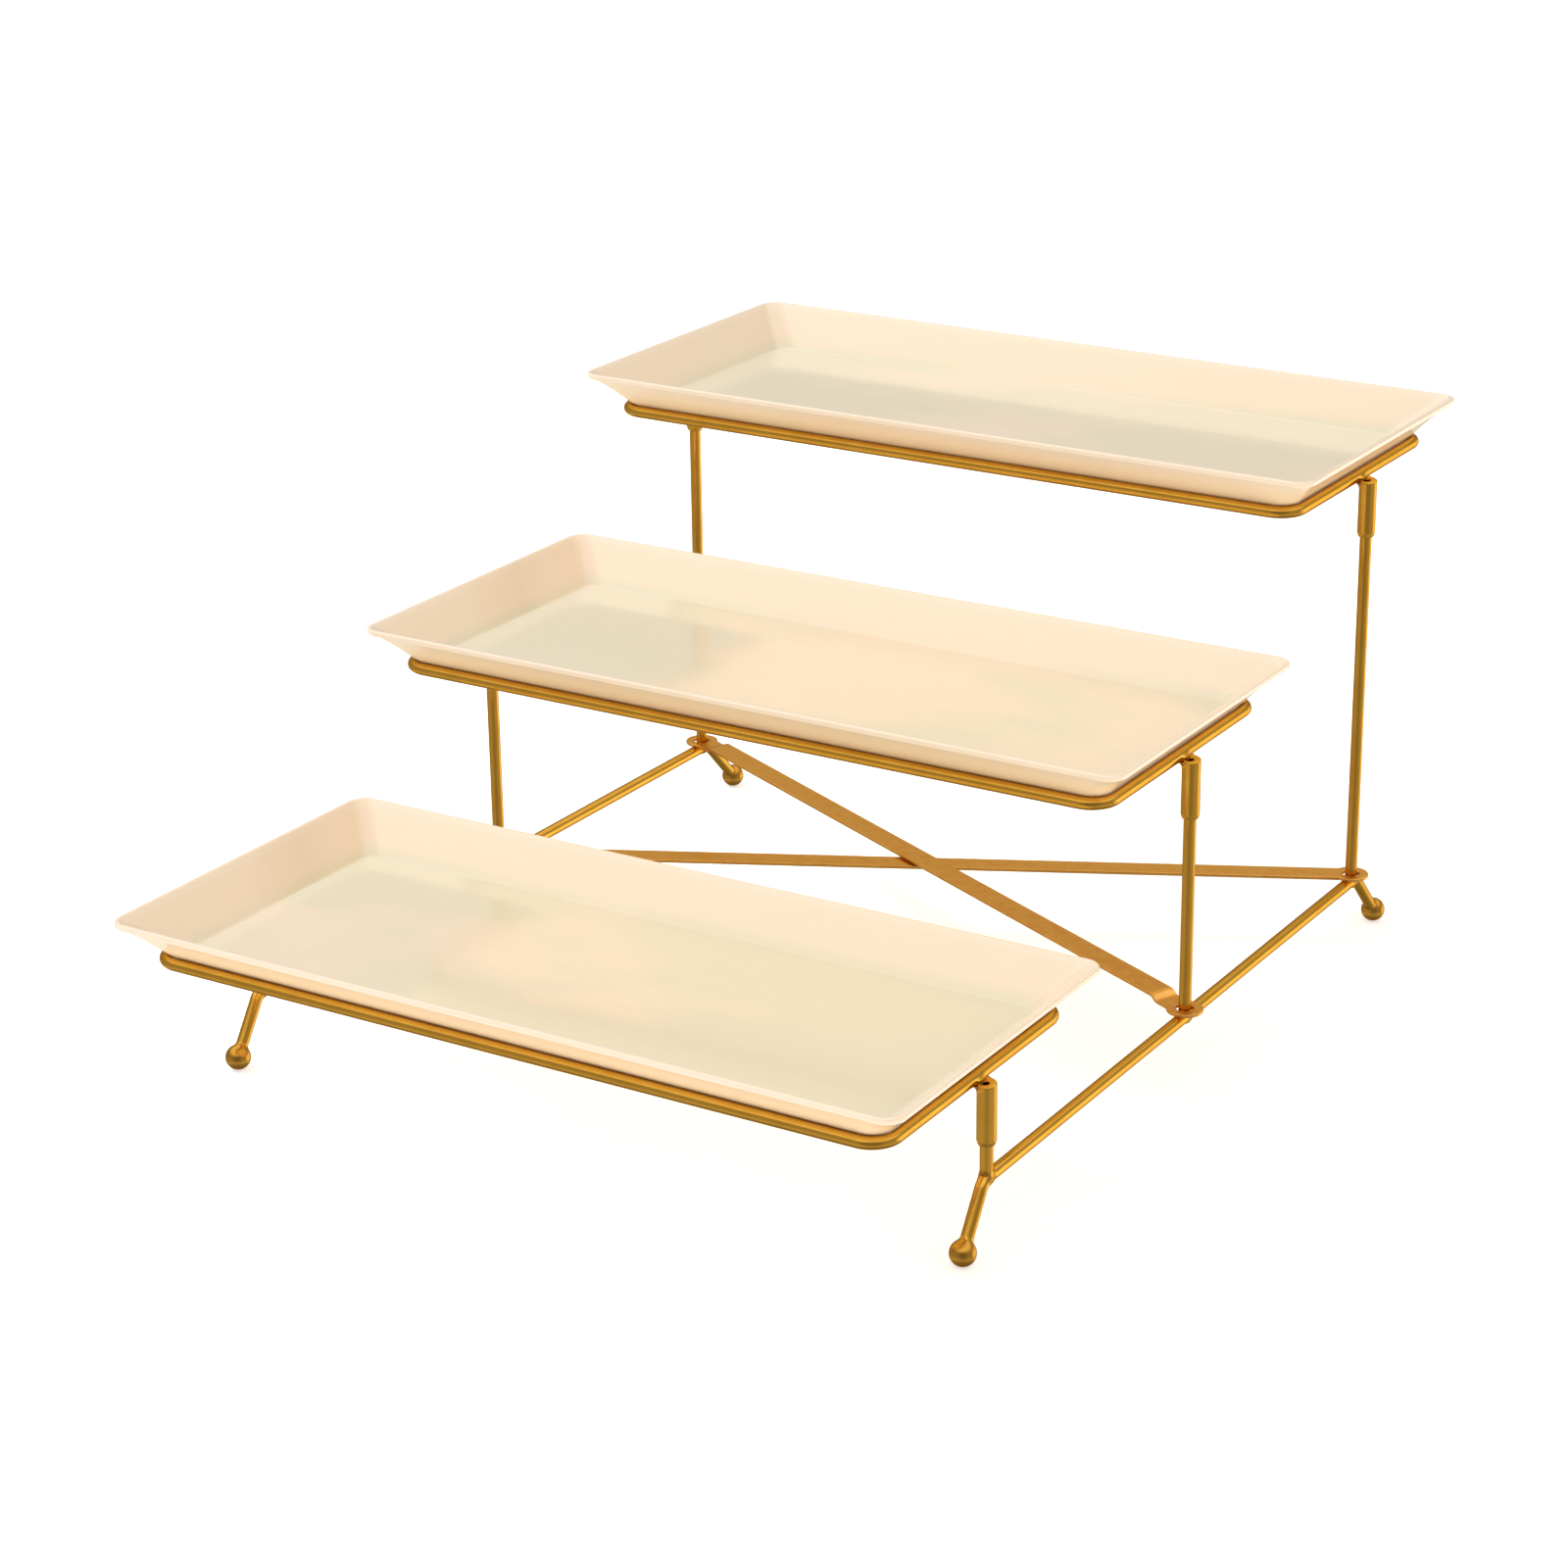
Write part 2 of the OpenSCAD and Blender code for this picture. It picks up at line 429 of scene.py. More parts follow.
def placed(
    name: str,
    mesh: bpy.types.Mesh,
    finish: bpy.types.Material,
    body: str,
    node: str,
) -> bpy.types.Object:
    """Puts a mesh into the scene as a piece that stands for one node of the frame.

    Args:
        name: The piece's name.
        mesh: Its mesh, already in place.
        finish: Its material.
        body: The body that it rides on.
        node: The frame's node that it stands for.

    Returns:
        The new object.
    """
    piece = bpy.data.objects.new(name, mesh)
    bpy.context.scene.collection.objects.link(piece)
    mesh.materials.clear()
    mesh.materials.append(finish)
    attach(piece, body)
    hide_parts(node)
    LOG.info("%s: %d faces, on %s", name, len(mesh.polygons), body)
    return piece


def edges_of(node: str) -> tuple[np.ndarray, np.ndarray]:
    """Lowest and highest corners of a frame node, as arrays."""
    low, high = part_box(node)
    return np.array(low), np.array(high)


# ---------------------------------------------------------------------------------------------
# Shader sums

Number = Union[float, "Value"]


class Value:
    """An output socket that takes part in Python sums by adding Math nodes."""

    def __init__(self, graph: "Graph", socket: bpy.types.NodeSocket) -> None:
        """Keeps the graph that the socket belongs to."""
        self.graph = graph
        self.socket = socket

    def __add__(self, other: Number) -> "Value":
        """Self plus other."""
        return self.graph.maths("ADD", self, other)

    def __radd__(self, other: Number) -> "Value":
        """Other plus self."""
        return self.graph.maths("ADD", other, self)

    def __sub__(self, other: Number) -> "Value":
        """Self minus other."""
        return self.graph.maths("SUBTRACT", self, other)

    def __rsub__(self, other: Number) -> "Value":
        """Other minus self."""
        return self.graph.maths("SUBTRACT", other, self)

    def __mul__(self, other: Number) -> "Value":
        """Self times other."""
        return self.graph.maths("MULTIPLY", self, other)

    def __rmul__(self, other: Number) -> "Value":
        """Other times self."""
        return self.graph.maths("MULTIPLY", other, self)


class Graph:
    """The node tree of a material or a world, with one method that makes any node."""

    def __init__(self, owner: Union[bpy.types.Material, bpy.types.World]) -> None:
        """Empties the owner's tree.

        Args:
            owner: The material or world.
        """
        owner.use_nodes = True
        self.owner = owner
        self.tree = owner.node_tree
        self.tree.nodes.clear()

    def node(
        self,
        kind: str,
        settings: Optional[dict[str, object]] = None,
        output: Union[int, str, None] = 0,
        **inputs: object,
    ) -> Optional[Value]:
        """Adds a node, makes its settings, then fills its sockets.

        Args:
            kind: The node's type, without the ShaderNode prefix.
            settings: Attributes set before any socket; "stops" fills a colour ramp.
            output: Index or identifier of the output that is handed back, or None.
            **inputs: Socket identifiers, with underscores for spaces, and what goes in.

        Returns:
            The chosen output, if any.
        """
        made = self.tree.nodes.new("ShaderNode" + kind)
        for key, setting in (settings or {}).items():
            if key == "stops":
                self._fill_ramp(made.color_ramp, setting)
            else:
                setattr(made, key, setting)
        for key, content in inputs.items():
            wanted = (key, key.replace("_", " "))
            socket = next(s for s in made.inputs if s.identifier in wanted or s.name in wanted)
            self.fill(socket, content)
        if output is None:
            return None
        if isinstance(output, str):
            return Value(self, next(s for s in made.outputs if s.identifier == output))
        return Value(self, made.outputs[output])

    def fill(self, socket: bpy.types.NodeSocket, content: object) -> None:
        """Links a Value into a socket, or sets a plain number, colour or vector on it.

        Args:
            socket: An input socket.
            content: What goes into it.
        """
        if isinstance(content, Value):
            self.tree.links.new(content.socket, socket)
        elif isinstance(content, tuple) and socket.type == "RGBA":
            socket.default_value = (*content, 1.0)
        else:
            socket.default_value = content

    @staticmethod
    def _fill_ramp(ramp: bpy.types.ColorRamp, stops: Sequence[tuple[float, float]]) -> None:
        """Sets a ramp's stops.

        Args:
            ramp: The ramp to fill.
            stops: Pairs of place and grey level, in rising order.
        """
        while len(ramp.elements) < len(stops):
            ramp.elements.new(0.5)
        for element, (place, level) in zip(ramp.elements, stops):
            element.position = place
            element.color = (level, level, level, 1.0)

    def maths(self, operation: str, a: Number, b: Number) -> Value:
        """Adds a Math node.

        Args:
            operation: What it does, in Blender's word.
            a: Its first number.
            b: Its second number.

        Returns:
            The result.
        """
        made = self.tree.nodes.new("ShaderNodeMath")
        made.operation = operation
        self.fill(made.inputs[0], a)
        self.fill(made.inputs[1], b)
        return Value(self, made.outputs[0])

    def ramp(self, source: Value, *stops: tuple[float, float]) -> Value:
        """A value passed through a ramp of grey levels."""
        return self.node("ValToRGB", {"stops": stops}, Fac=source)

    def blend(self, factor: Number, a: object, b: object, mode: str = "MIX") -> Value:
        """A colour mix of a and b, by factor."""
        settings = {"data_type": "RGBA", "blend_type": mode}
        return self.node(
            "Mix", settings, "Result_Color", Factor_Float=factor, A_Color=a, B_Color=b
        )

    def place(self, scale: tuple[float, float, float] = (1.0, 1.0, 1.0)) -> Value:
        """Object coordinates, stretched by scale."""
        here = self.node("TexCoord", output="Object")
        return self.node("Mapping", {"vector_type": "POINT"}, Vector=here, Scale=scale)

    def noise(self, where: Value, scale: float, detail: float = 3.0, rough: float = 0.5) -> Value:
        """Fractal noise from 0 to 1, with scale in lumps a metre."""
        return self.node(
            "TexNoise", Vector=where, Scale=scale, Detail=detail, Roughness=rough
        )

    def layer(self, name: str) -> Value:
        """A number that the mesh keeps at its points."""
        return self.node("Attribute", {"attribute_name": name}, "Fac")

    def bumps(self, height: Value, depth: float, strength: float) -> Value:
        """A Bump node: height from 0 to 1 stands depth metres proud."""
        return self.node("Bump", Height=height, Distance=depth, Strength=strength)

    def finish(self, **sockets: object) -> bpy.types.Material:
        """Ends the tree in a Principled shader.

        Args:
            **sockets: Its sockets and what goes into them.

        Returns:
            The material.
        """
        self.node("OutputMaterial", None, None, Surface=self.node("BsdfPrincipled", **sockets))
        return self.owner


# ---------------------------------------------------------------------------------------------
# Finishes

Colour = tuple[float, float, float]


@dataclass(frozen=True)
class GoldLacquer:
    """Metallic gold lacquer, sprayed over steel after it is welded."""

    name: str
    light: Colour
    deep: Colour
    # redder, duller colour of the welds; on the ball feet it is also painted shade
    weld: Colour
    roughness: float
    mottle_scale: float
    mottle: float
    peel_depth: float
    grazing: Colour = (0.72, 0.50, 0.24)

    def material(self) -> bpy.types.Material:
        """Cloudy gold with a fine orange peel, redder and duller over the welds and, as painted
        shade, over the ball feet.

        Returns:
            The material.
        """
        g = Graph(bpy.data.materials.new(self.name))
        where = g.place()
        cloud = g.ramp(g.noise(where, self.mottle_scale, 4.0, 0.55), (0.32, 0.0), (0.68, 1.0))
        fleck = g.noise(where, 2600.0, 2.0)
        shade = cloud * self.mottle + fleck * (0.35 * self.mottle)
        gold = g.blend(shade, self.light, self.deep)
        # the weld layer tints real welds redder, and on the ball feet it also carries painted shade
        weld_tint_and_ball_shade = g.layer("weld") * (0.55 + 0.45 * g.noise(where, 900.0, 3.0))
        colour = g.blend(weld_tint_and_ball_shade * 0.75, gold, self.weld)
        rough = self.roughness + 0.10 * (cloud - 0.5) + 0.05 * (fleck - 0.5) + 0.16 * weld_tint_and_ball_shade
        peel = g.noise(where, 750.0, 2.0) + 0.5 * fleck
        lumps = g.layer("weld") * g.noise(where, 1400.0, 2.0)
        skin = g.bumps(peel + 3.0 * lumps, self.peel_depth, 0.5)
        return g.finish(
            Base_Color=colour, Metallic=1.0, Roughness=rough, Normal=skin,
            Specular_Tint=self.grazing, Coat_Weight=0.30, Coat_Roughness=0.10,
        )


@dataclass(frozen=True)
class CreamGlaze:
    """A glossy cream glaze, pooled on the floor and thin over the rim, with painted shade and a
    painted gold reflection low on the outer wall.
    """

    name: str
    wall: Colour
    pooled: Colour
    rim: Colour
    outside: Colour
    # painted shade and painted reflection of the gold ring: the outer wall's colour low down, next
    # to the wire
    painted_shade_and_gold_reflection: Colour
    clay: Colour

    def material(self) -> bpy.types.Material:
        """Cream that varies as a poured glaze does, bare clay on the foot ring.

        Returns:
            The material.
        """
        g = Graph(bpy.data.materials.new(self.name))
        where = g.place()
        drift = g.noise(g.place((0.55, 1.0, 1.0)), 13.0, 3.0, 0.5)
        patch = g.ramp(drift, (0.41, 0.0), (0.50, 1.0))
        streak = g.noise(g.place((0.12, 1.0, 1.0)), 160.0, 2.0)
        pool = g.layer("pool") * (0.20 + 0.80 * patch)
        inside = g.blend(pool, self.wall, self.pooled)
        # the outer wall turns darker and more golden towards the ring by the low layer: painted
        # shade and painted reflection of the gold wire
        outside = g.blend(g.layer("low"), self.outside, self.painted_shade_and_gold_reflection)
        body = g.blend(g.layer("outer"), inside, outside)
        body = g.blend(g.layer("edge") * 0.85, body, self.rim)
        tint = g.blend(1.0, body, g.blend(streak * 0.5, (1.0, 1.0, 1.0), (0.975, 0.968, 0.95)),
                       "MULTIPLY")
        grain = g.noise(where, 1900.0, 3.0, 0.6)
        bare = g.ramp(g.layer("bare") + 0.25 * (grain - 0.5), (0.42, 0.0), (0.58, 1.0))
        clay = g.blend(grain, self.clay, tuple(0.8 * c for c in self.clay))
        colour = g.blend(bare, tint, clay)
        rough = 0.15 + 0.05 * (g.noise(where, 90.0, 2.0) - 0.5) + 0.65 * bare
        swell_height = g.noise(g.place((0.5, 1.0, 1.0)), 45.0, 2.0)
        peel = swell_height + 0.05 * g.noise(where, 600.0, 2.0) + 0.06 * bare * grain
        skin = g.bumps(peel, 0.35 * MM, 0.35)
        return g.finish(
            Base_Color=colour, Roughness=rough, Normal=skin, Coat_Roughness=0.06, IOR=1.5,
            Coat_Weight=(1.0 - bare) * (0.35 - 0.30 * g.layer("low")),
        )


@dataclass(frozen=True)
class Finishes:
    """The stand's three finishes, ready to use."""

    wire: bpy.types.Material
    bar: bpy.types.Material
    glaze: bpy.types.Material

    @staticmethod
    def mixed() -> "Finishes":
        """Mixes the three finishes.

        Returns:
            The stand's materials.
        """
        wire = GoldLacquer(
            "gold_wire_lacquer", (0.70, 0.388, 0.050), (0.57, 0.29, 0.022), (0.30, 0.10, 0.012),
            0.18, 90.0, 0.5, 0.010 * MM,
        )
        bar = GoldLacquer(
            "gold_bar_lacquer", (0.86, 0.48, 0.125), (0.68, 0.345, 0.065), (0.30, 0.10, 0.014),
            0.36, 200.0, 0.6, 0.012 * MM,
        )
        glaze = CreamGlaze(
            "cream_glaze", (0.83, 0.71, 0.59), (0.735, 0.69, 0.56), (0.85, 0.745, 0.65),
            # the second colour on the next line is painted shade and painted gold reflection for
            # the outer wall near the ring
            (0.89, 0.74, 0.56), (0.86, 0.68, 0.45), (0.70, 0.56, 0.42),
        )
        return Finishes(wire.material(), bar.material(), glaze.material())


# ---------------------------------------------------------------------------------------------
# The base


@dataclass
class SideFrame:
    """One side of the base: a bent side wire, three posts welded on it and two ball feet."""

    side: Side
    sides: int = 40
    bend: float = 5.0 * MM
    toe: float = 2.0 * MM
    heel: float = 4.0 * MM
    leg_bite: float = 1.5 * MM
    step: float = 0.45 * MM
    weld: float = 1.5 * MM
    ball_weld: float = 0.9 * MM
    # painted shade: the ball feet take this much of the weld tint all over, to look darker than the
    # wire
    painted_ball_shade: float = 0.5
    ball_rows: int = 57
    ball_sides: int = 72
    bend_steps: int = 16
    tip: float = 0.6 * MM
    tip_edge: float = 0.3 * MM
    weld_high: float = 9.0 * MM
    weld_step: float = 0.25 * MM
    plain_step: float = 4.0 * MM
    stub: float = 60.0 * MM

    def __post_init__(self) -> None:
        """Reads the side's places from the frame."""
        self.posts = {tier: edges_of(f"{self.side.value}_{tier.post_word}_post") for tier in Tier}
        low, high = edges_of(f"{self.side.value}_rail")
        self.wire = float(high[0] - low[0]) / 2
        self.x = float(low[0] + high[0]) / 2
        self.rail_z = float(high[2]) - self.wire
        self.feet = {
            end: edges_of(f"{self.side.value}_{end}_foot") for end in ("front", "rear")
        }

    def post_y(self, tier: Tier) -> float:
        """Where a post stands along Y."""
        low, high = self.posts[tier]
        return float(low[1] + high[1]) / 2

    def ball(self, end: str) -> Rod:
        """A foot's ball, as a rod with no length.

        Args:
            end: "front" or "rear".

        Returns:
            The ball.
        """
        low, high = self.feet[end]
        centre = (low + high) / 2
        return Rod(centre, centre, float(high[2] - low[2]) / 2)

    def corners(self) -> list[tuple[float, float]]:
        """The side wire's corners in the YZ plane.

        Returns:
            Front end, front bend, rear bend and rear end, each as (y, z). The ends stop inside
            the balls, just short of their middles.
        """
        front, rear = self.ball("front").start, self.ball("rear").start
        first = (self.post_y(Tier.FRONT) - self.toe, self.rail_z)
        last = (self.post_y(Tier.TOP) + self.heel, self.rail_z)
        ends = []
        for ball, knee in ((front, first), (rear, last)):
            rise = np.array(knee) - ball[1:]
            rise *= self.leg_bite / np.linalg.norm(rise)
            ends.append(tuple(ball[1:] + rise))
        return [ends[0], first, last, ends[1]]

    def post_rods(self) -> list[Rod]:
        """The lower stretch of the three posts, for their welds.

        Returns:
            One rod to a post, from the rail's middle up.
        """
        rods = []
        for tier in Tier:
            foot = np.array([self.x, self.post_y(tier), self.rail_z])
            rods.append(Rod(foot, foot + UP * self.stub, self.wire))
        return rods

    def leg_rods(self) -> list[Rod]:
        """The rail and the two legs as rods."""
        spots = [np.array([self.x, y, z]) for y, z in self.corners()]
        return [Rod(a, b, self.wire) for a, b in zip(spots, spots[1:])]

    def wire_skin(self) -> Skin:
        """The side wire: a round section carried up, along and down again, welds raised.

        Returns:
            The wire, closed at both ends.
        """
        radii = (0, self.bend, self.bend, 0)
        flat_path = filleted(self.corners(), radii, self.step, arc_steps=self.bend_steps)
        path = np.column_stack([np.full(len(flat_path), self.x), flat_path])
        radius = np.full(len(path), self.wire)
        points, normals = swept(path, radius, np.array([1.0, 0.0, 0.0]), self.sides, False)
        points, weld = swell(points, normals, self.post_rods(), self.weld)
        balls = [self.ball("front"), self.ball("rear")]
        points, ball_weld = swell(points, normals, balls, self.ball_weld)
        return Skin(with_poles(points), {"weld": pole_layer(np.maximum(weld, ball_weld))})

    def post_skin(self, tier: Tier) -> Skin:
        """A post: a straight wire with a chamfered top, raised into a weld at its foot.

        Args:
            tier: The step whose holder it carries.

        Returns:
            The post, from the rail's middle up.
        """
        top = float(self.posts[tier][1][2]) - self.rail_z
        edge = self.wire - self.tip
        lower = [(self.wire, h) for h in np.arange(0.0, self.weld_high, self.weld_step)]
        upper = filleted(
            [(self.wire, self.weld_high), (self.wire, top - self.tip), (edge, top), (0.0, top)],
            (0, self.tip_edge, self.tip_edge, 0), self.plain_step, arc_steps=4,
        )
        profile = np.concatenate([[(0.0, 0.0)], lower, upper])
        foot = np.array([self.x, self.post_y(tier), self.rail_z])
        points, normals = turned(profile, foot, self.sides, False)
        normals[0] = -UP
        points, weld = swell(points, normals, self.leg_rods(), self.weld)
        return Skin(points, {"weld": weld})

    def foot_skin(self, end: str) -> Skin:
        """A ball foot: a sphere, raised where its leg goes in, painted deeper than the wire as
        painted shade.

        Args:
            end: "front" or "rear".

        Returns:
            The ball.
        """
        ball = self.ball(end)
        angle = np.linspace(-math.pi / 2, math.pi / 2, self.ball_rows)
        profile = ball.radius * np.column_stack([np.cos(angle), np.sin(angle)])
        points, _ = turned(profile, ball.start, self.ball_sides, False)
        normals = (points - ball.start) / ball.radius
        legs = self.leg_rods()
        leg = legs[0] if end == "front" else legs[-1]
        points, weld = swell(points, normals, [leg], self.ball_weld)
        # the weld layer is held at the ball shade level or more: painted shade over the whole ball
        return Skin(points, {"weld": np.maximum(weld, self.painted_ball_shade)})

    def build(self, finishes: Finishes) -> None:
        """Makes the side's six pieces.

        Args:
            finishes: The materials.
        """
        word = self.side.value
        jobs = [(f"{word}_side_wire", self.wire_skin(), f"{word}_rail")]
        for tier in Tier:
            post = f"{word}_{tier.post_word}_post"
            jobs.append((f"{post}_wire", self.post_skin(tier), post))
        for end in self.feet:
            foot = f"{word}_{end}_foot"
            jobs.append((f"{foot}_ball", self.foot_skin(end), foot))
        for name, skin, node in jobs:
            placed(name, skin.mesh(name), finishes.wire, "base", node)


@dataclass
class CrossedBar:
    """A flat bar between two posts, with a drilled eye round each; its middle may step up."""

    name: str
    node: str
    start: np.ndarray
    end: np.ndarray
    rest_z: float
    step: float
    width: float = 9.5 * MM
    thick: float = 1.2 * MM
    eye: float = 6.5 * MM
    bore: float = 3.2 * MM
    step_from_eye: float = 11.0 * MM
    ramp_run: float = 2.2
    ramp_lead: float = 0.6
    across: int = 10
    station: float = 0.7 * MM
    eye_rows: tuple[float, ...] = (0.0, 0.12, 0.5, 0.88, 1.0)
    eye_steps: int = 40
    edge: float = 0.28 * MM

    def height(self, along: np.ndarray) -> np.ndarray:
        """Height of the bar's middle plane over its eyes: a smooth step up and down again.

        Args:
            along: Distance from the first eye's centre.

        Returns:
            The height, where the step follows 3 s^2 - 2 s^3 over its run.
        """
        span = float(np.linalg.norm(self.end - self.start))
        if self.step == 0:
            return np.zeros_like(along)
        from_end = np.minimum(along, span - along)
        run = self.step * self.ramp_run
        lead = self.step * self.ramp_lead
        s = np.clip((from_end - self.step_from_eye + lead) / run, 0.0, 1.0)
        return self.step * s * s * (3 - 2 * s)

    def sheet(self) -> tuple[np.ndarray, np.ndarray]:
        """The bar's middle plane: a ring round each bore and a strap between the rings.

        A ring's points are its centre plus radius times (cos a, sin a). The strap's rows start
        on the ring's own edge, at x = sqrt(eye^2 - y^2), so that the two share points.

        Returns:
            Flat points in the bar's own axes, count by 2, and faces, count by 4.
        """
        span = float(np.linalg.norm(self.end - self.start))
        y = np.linspace(-self.width / 2, self.width / 2, self.across + 1)
        neck = math.asin(self.width / 2 / self.eye)
        inside = np.arcsin(y / self.eye)
        outside = np.linspace(neck, 2 * math.pi - neck, self.eye_steps)[1:-1]
        angle = np.concatenate([inside, outside])
        radii = self.bore + (self.eye - self.bore) * np.array(self.eye_rows)
        ring = radii[:, None, None] * np.stack([np.cos(angle), np.sin(angle)], axis=-1)
        root = np.sqrt(self.eye**2 - y**2)
        share = np.linspace(0.0, 1.0, int(span / self.station))[:, None]
        strap_x = root + (span - 2 * root) * share
        strap = np.stack([strap_x, np.broadcast_to(y, strap_x.shape)], axis=-1)
        far_ring = np.array([span, 0.0]) - ring
        spots, faces, first = [], [], 0
        for patch, wraps in ((ring, True), (strap, False), (far_ring, True)):
            rows, columns = patch.shape[:2]
            r, c = np.meshgrid(np.arange(rows - 1), np.arange(columns if wraps else columns - 1),
                               indexing="ij")
            r, c = r.ravel(), c.ravel()
            after = (c + 1) % columns
            quads = np.stack([r * columns + c, (r + 1) * columns + c, (r + 1) * columns + after,
                              r * columns + after], axis=1)
            spots.append(patch.reshape(-1, 2))
            faces.append(quads + first)
            first += rows * columns
        return np.concatenate(spots), np.concatenate(faces)

    def build(self, finishes: Finishes) -> None:
        """Makes the bar: the plane is lifted, turned into place, thickened and its edges eased.

        Args:
            finishes: The materials.
        """
        flat, faces = self.sheet()
        run = self.end - self.start
        ahead = run / np.linalg.norm(run)
        left = np.array([-ahead[1], ahead[0]])
        spots = np.zeros((len(flat), 3))
        spots[:, :2] = self.start + flat[:, :1] * ahead + flat[:, 1:] * left
        spots[:, 2] = self.rest_z + self.thick / 2 + self.height(flat[:, 0])
        mesh = bpy.data.meshes.new(self.name)
        mesh.from_pydata(spots, [], faces)
        mesh.uv_layers.new(name="UVMap")
        loop_spots = np.zeros(len(mesh.loops), np.int32)
        mesh.loops.foreach_get("vertex_index", loop_spots)
        mesh.uv_layers[0].data.foreach_set("uv", (flat[loop_spots] / self.width).ravel())
        Skin.close(mesh)
        mesh.attributes.new("weld", "FLOAT", "POINT")
        piece = placed(self.name, mesh, finishes.bar, "base", self.node)
        solid = piece.modifiers.new("thickness", "SOLIDIFY")
        solid.thickness = self.thick
        solid.offset = 0.0
        eased_edge = piece.modifiers.new("eased_edge", "BEVEL")
        eased_edge.width = self.edge
        eased_edge.segments = 3
        eased_edge.limit_method = "ANGLE"
        eased_edge.angle_limit = math.radians(50)
        piece.modifiers.new("flat_faces", "WEIGHTED_NORMAL").keep_sharp = True


@dataclass
class Base:
    """The standing base: two side frames held apart by the crossed bars."""

    finishes: Finishes
    bar_air: float = 0.4 * MM
    bar_thick: float = 1.2 * MM

    def build(self) -> None:
        """Makes both side frames and both bars."""
        left, right = SideFrame(Side.LEFT), SideFrame(Side.RIGHT)
        for frame in (left, right):
            frame.build(self.finishes)
        rest = right.rail_z + right.wire
        lift = self.bar_thick + self.bar_air
        spots = {
            (frame.side, tier): np.array([frame.x, frame.post_y(tier)])
            for frame in (left, right)
            for tier in (Tier.MIDDLE, Tier.TOP)
        }
        upper = (spots[Side.RIGHT, Tier.MIDDLE], spots[Side.LEFT, Tier.TOP])
        lower = (spots[Side.RIGHT, Tier.TOP], spots[Side.LEFT, Tier.MIDDLE])
        CrossedBar("upper_flat_bar", "upper_crossbar", *upper, rest, lift).build(self.finishes)
        CrossedBar("lower_flat_bar", "lower_crossbar", *lower, rest, 0.0).build(self.finishes)


# ---------------------------------------------------------------------------------------------
# The holders


